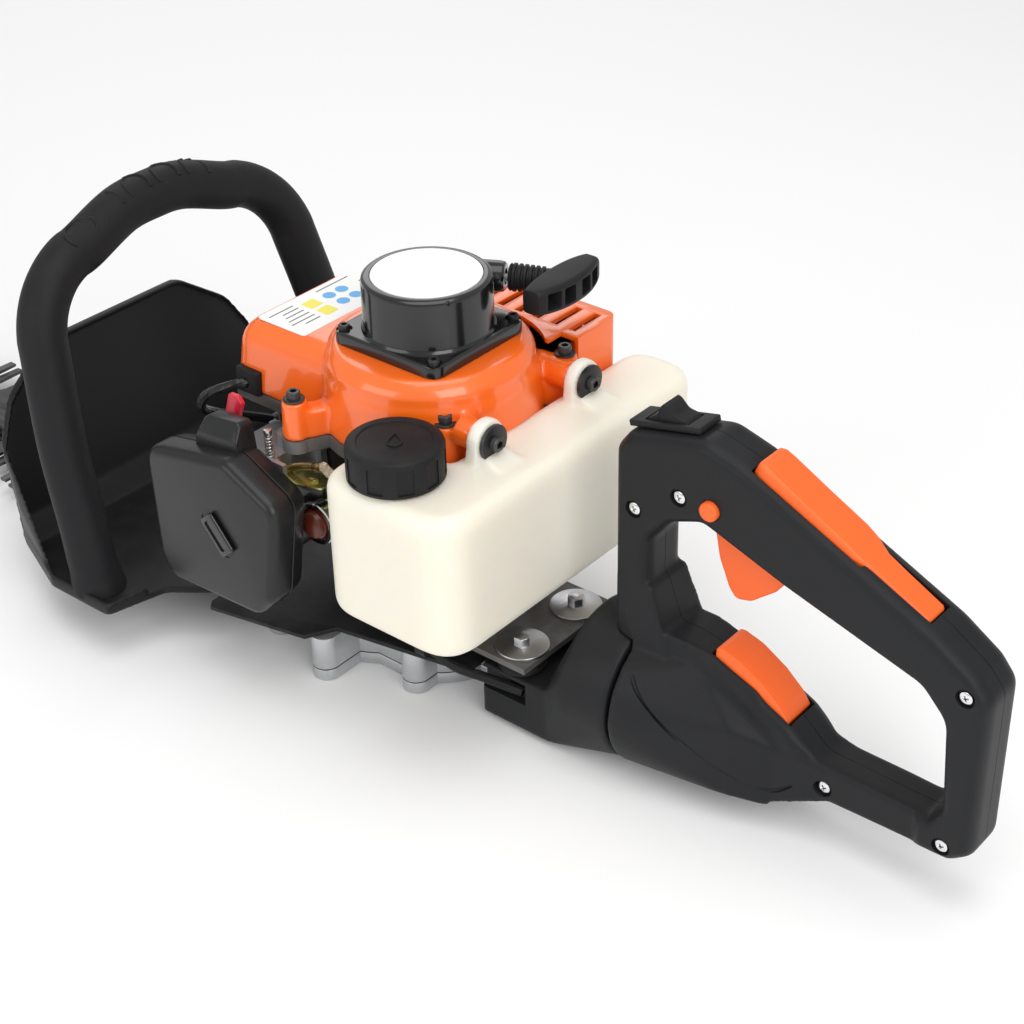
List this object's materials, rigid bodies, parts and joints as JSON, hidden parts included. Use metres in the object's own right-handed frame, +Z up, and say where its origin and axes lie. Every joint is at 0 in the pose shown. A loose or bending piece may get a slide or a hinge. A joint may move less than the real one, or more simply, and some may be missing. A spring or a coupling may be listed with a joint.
{
  "type": "petrol hedge trimmer",
  "caption": "Petrol hedge trimmer with double-sided reciprocating blades, recoil starter, loop front handle, hand guard and swivelling rear handle with trigger.",
  "frame": {"origin": "underside of the gearbox cover, on the crankshaft axis", "axes": "+X forward along the blades, +Y to the machine's left, +Z up"},
  "size_m": [1.22, 0.283, 0.2675],
  "materials": {
    "black_sheet": "satin",
    "cast_alloy": "cast",
    "gasket": "matte",
    "steel": "satin",
    "black_steel": "satin",
    "dark_cast": "matte",
    "black_plastic": "matte",
    "ceramic": "gloss",
    "black_rubber": "matte",
    "muffler_steel": "satin",
    "orange_gloss": "gloss",
    "white_label": "gloss",
    "black_gloss": "gloss",
    "white_plastic": "matte",
    "rope": "braided",
    "foam": "matte",
    "red_plastic": "gloss",
    "bright_chrome": "gloss",
    "amber_rubber": "satin",
    "tank_plastic": "translucent satin",
    "clear_hose": "gloss",
    "elbow_brass": "satin",
    "handle_plastic": "textured",
    "orange_matte": "satin"
  },
  "bodies": {
    "chassis": {"base_plate": "black_sheet", "gearbox_housing": "cast_alloy", "gearbox_gasket": "gasket", "gearbox_cover": "cast_alloy", "cover_bolts": "steel", "guide_bar": "black_steel", "blade_bolts": "black_steel", "crankcase": "dark_cast", "cylinder": "cast_alloy", "ignition_coil": "black_plastic", "spark_plug": "ceramic", "ignition_lead": "black_rubber", "muffler": "muffler_steel", "muffler_guard": "orange_gloss", "engine_cover": "orange_gloss", "flange_screws": "black_steel", "rating_label": "white_label", "starter_housing": "black_gloss", "starter_badge": "white_label", "starter_screws": "black_steel", "carburettor": "cast_alloy", "filter_case": "black_gloss", "filter_element": "foam", "primer_ring": "bright_chrome", "fuel_tank": "tank_plastic", "fuel_line": "clear_hose", "fuel_elbow": "elbow_brass", "throttle_cable": "black_rubber", "cable_clip": "black_plastic", "hub_bracket": "dark_cast", "av_rubbers": "black_rubber", "av_bolts": "bright_chrome", "front_handle": "black_plastic", "hand_guard": "black_plastic"},
    "upper_blade": {"upper_blade": "black_steel"},
    "lower_blade": {"lower_blade": "black_steel"},
    "cam_gear": {"cam_gear": "steel"},
    "clutch_drum": {"clutch_drum": "steel"},
    "crankshaft": {"crankshaft": "steel", "flywheel_fan": "dark_cast", "clutch_shoes": "dark_cast"},
    "piston": {"piston": "cast_alloy"},
    "connecting_rod": {"connecting_rod": "steel"},
    "starter_reel": {"starter_reel": "white_plastic"},
    "starter_handle": {"starter_handle": "black_plastic", "starter_rope": "rope"},
    "fuel_cap": {"fuel_cap": "black_plastic"},
    "filter_cover": {"filter_cover": "black_gloss"},
    "filter_knob": {"filter_knob": "black_plastic"},
    "choke_lever": {"choke_lever": "red_plastic"},
    "primer_bulb": {"primer_bulb": "amber_rubber"},
    "rear_handle": {"handle_left": "handle_plastic", "handle_right": "handle_plastic", "handle_screws": "bright_chrome", "switch_bezel": "black_plastic"},
    "throttle_trigger": {"throttle_trigger": "orange_matte"},
    "lockout_lever": {"lockout_lever": "orange_matte"},
    "throttle_lock_button": {"throttle_lock_button": "orange_matte"},
    "swivel_latch": {"swivel_latch": "orange_matte"},
    "switch_rocker": {"switch_rocker": "black_plastic"}
  },
  "joints": [
    {"name": "upper_blade_slide", "type": "slide", "parent": "chassis", "child": "upper_blade", "axis": [1, 0, 0], "range_m": [-0.008, 0.008]},
    {"name": "lower_blade_slide", "type": "slide", "parent": "chassis", "child": "lower_blade", "axis": [1, 0, 0], "range_m": [-0.008, 0.008]},
    {"name": "cam_spin", "type": "hinge", "parent": "chassis", "child": "cam_gear", "pos_m": [0.04965, 0, 0.02], "axis": [0, 0, 1], "continuous": true},
    {"name": "drum_spin", "type": "hinge", "parent": "chassis", "child": "clutch_drum", "pos_m": [0, 0, 0.02], "axis": [0, 0, 1], "continuous": true},
    {"name": "crank_spin", "type": "hinge", "parent": "chassis", "child": "crankshaft", "pos_m": [0, 0, 0.128], "axis": [0, 0, 1], "continuous": true},
    {"name": "piston_stroke", "type": "slide", "parent": "chassis", "child": "piston", "axis": [-1, 0, 0], "range_m": [0, 0.028]},
    {"name": "rod_swing", "type": "hinge", "parent": "piston", "child": "connecting_rod", "pos_m": [0.07, 0, 0.128], "axis": [0, 0, 1], "range_deg": [-14, 14]},
    {"name": "starter_pull", "type": "slide", "parent": "chassis", "child": "starter_handle", "axis": [-0.8829, -0.4695, 0], "range_m": [0, 0.6], "stiffness_N_per_m": 12},
    {"name": "reel_spin", "type": "hinge", "parent": "chassis", "child": "starter_reel", "pos_m": [0, 0, 0.252], "axis": [0, 0, 1], "range_deg": [-1080, 0]},
    {"name": "cap_lift", "type": "slide", "parent": "chassis", "child": "fuel_cap", "axis": [0, 0, 1], "range_m": [0, 0.04]},
    {"name": "filter_cover_lift", "type": "slide", "parent": "chassis", "child": "filter_cover", "axis": [0, 1, 0], "range_m": [0, 0.05]},
    {"name": "filter_knob_turn", "type": "hinge", "parent": "filter_cover", "child": "filter_knob", "pos_m": [0.071, 0.116, 0.1186], "axis": [0, 1, 0], "range_deg": [-90, 0]},
    {"name": "choke_swing", "type": "hinge", "parent": "chassis", "child": "choke_lever", "pos_m": [0.1, 0.076, 0.152], "axis": [0, 1, 0], "range_deg": [0, 20]},
    {"name": "primer_press", "type": "slide", "parent": "chassis", "child": "primer_bulb", "axis": [0, -1, 0], "range_m": [0, 0.003], "stiffness_N_per_m": 600},
    {"name": "handle_swivel", "type": "hinge", "parent": "chassis", "child": "rear_handle", "pos_m": [-0.165, 0, 0.047], "axis": [1, 0, 0], "range_deg": [-90, 90]},
    {"name": "trigger_squeeze", "type": "hinge", "parent": "rear_handle", "child": "throttle_trigger", "pos_m": [-0.227, 0, 0.196], "axis": [0, 1, 0], "range_deg": [0, 16], "stiffness_Nm_per_rad": 0.6},
    {"name": "lockout_press", "type": "hinge", "parent": "rear_handle", "child": "lockout_lever", "pos_m": [-0.336, 0, 0.172], "axis": [0, 1, 0], "range_deg": [0, 4], "stiffness_Nm_per_rad": 3},
    {"name": "lock_button_press", "type": "slide", "parent": "rear_handle", "child": "throttle_lock_button", "axis": [0, -1, 0], "range_m": [0, 0.003], "stiffness_N_per_m": 300},
    {"name": "latch_press", "type": "hinge", "parent": "rear_handle", "child": "swivel_latch", "pos_m": [-0.262, 0, 0.068], "axis": [0, 1, 0], "range_deg": [0, 6], "stiffness_Nm_per_rad": 3},
    {"name": "switch_rock", "type": "hinge", "parent": "rear_handle", "child": "switch_rocker", "pos_m": [-0.17733, 0, 0.23192], "axis": [0, 1, 0], "range_deg": [-10, 10]}
  ],
  "couplings": [
    {"joint": "lower_blade_slide", "follows": "upper_blade_slide", "ratio": -1},
    {"joint": "drum_spin", "follows": "cam_spin", "ratio": -4.5},
    {"joint": "reel_spin", "follows": "starter_pull", "rad_per_m": -30.303}
  ]
}
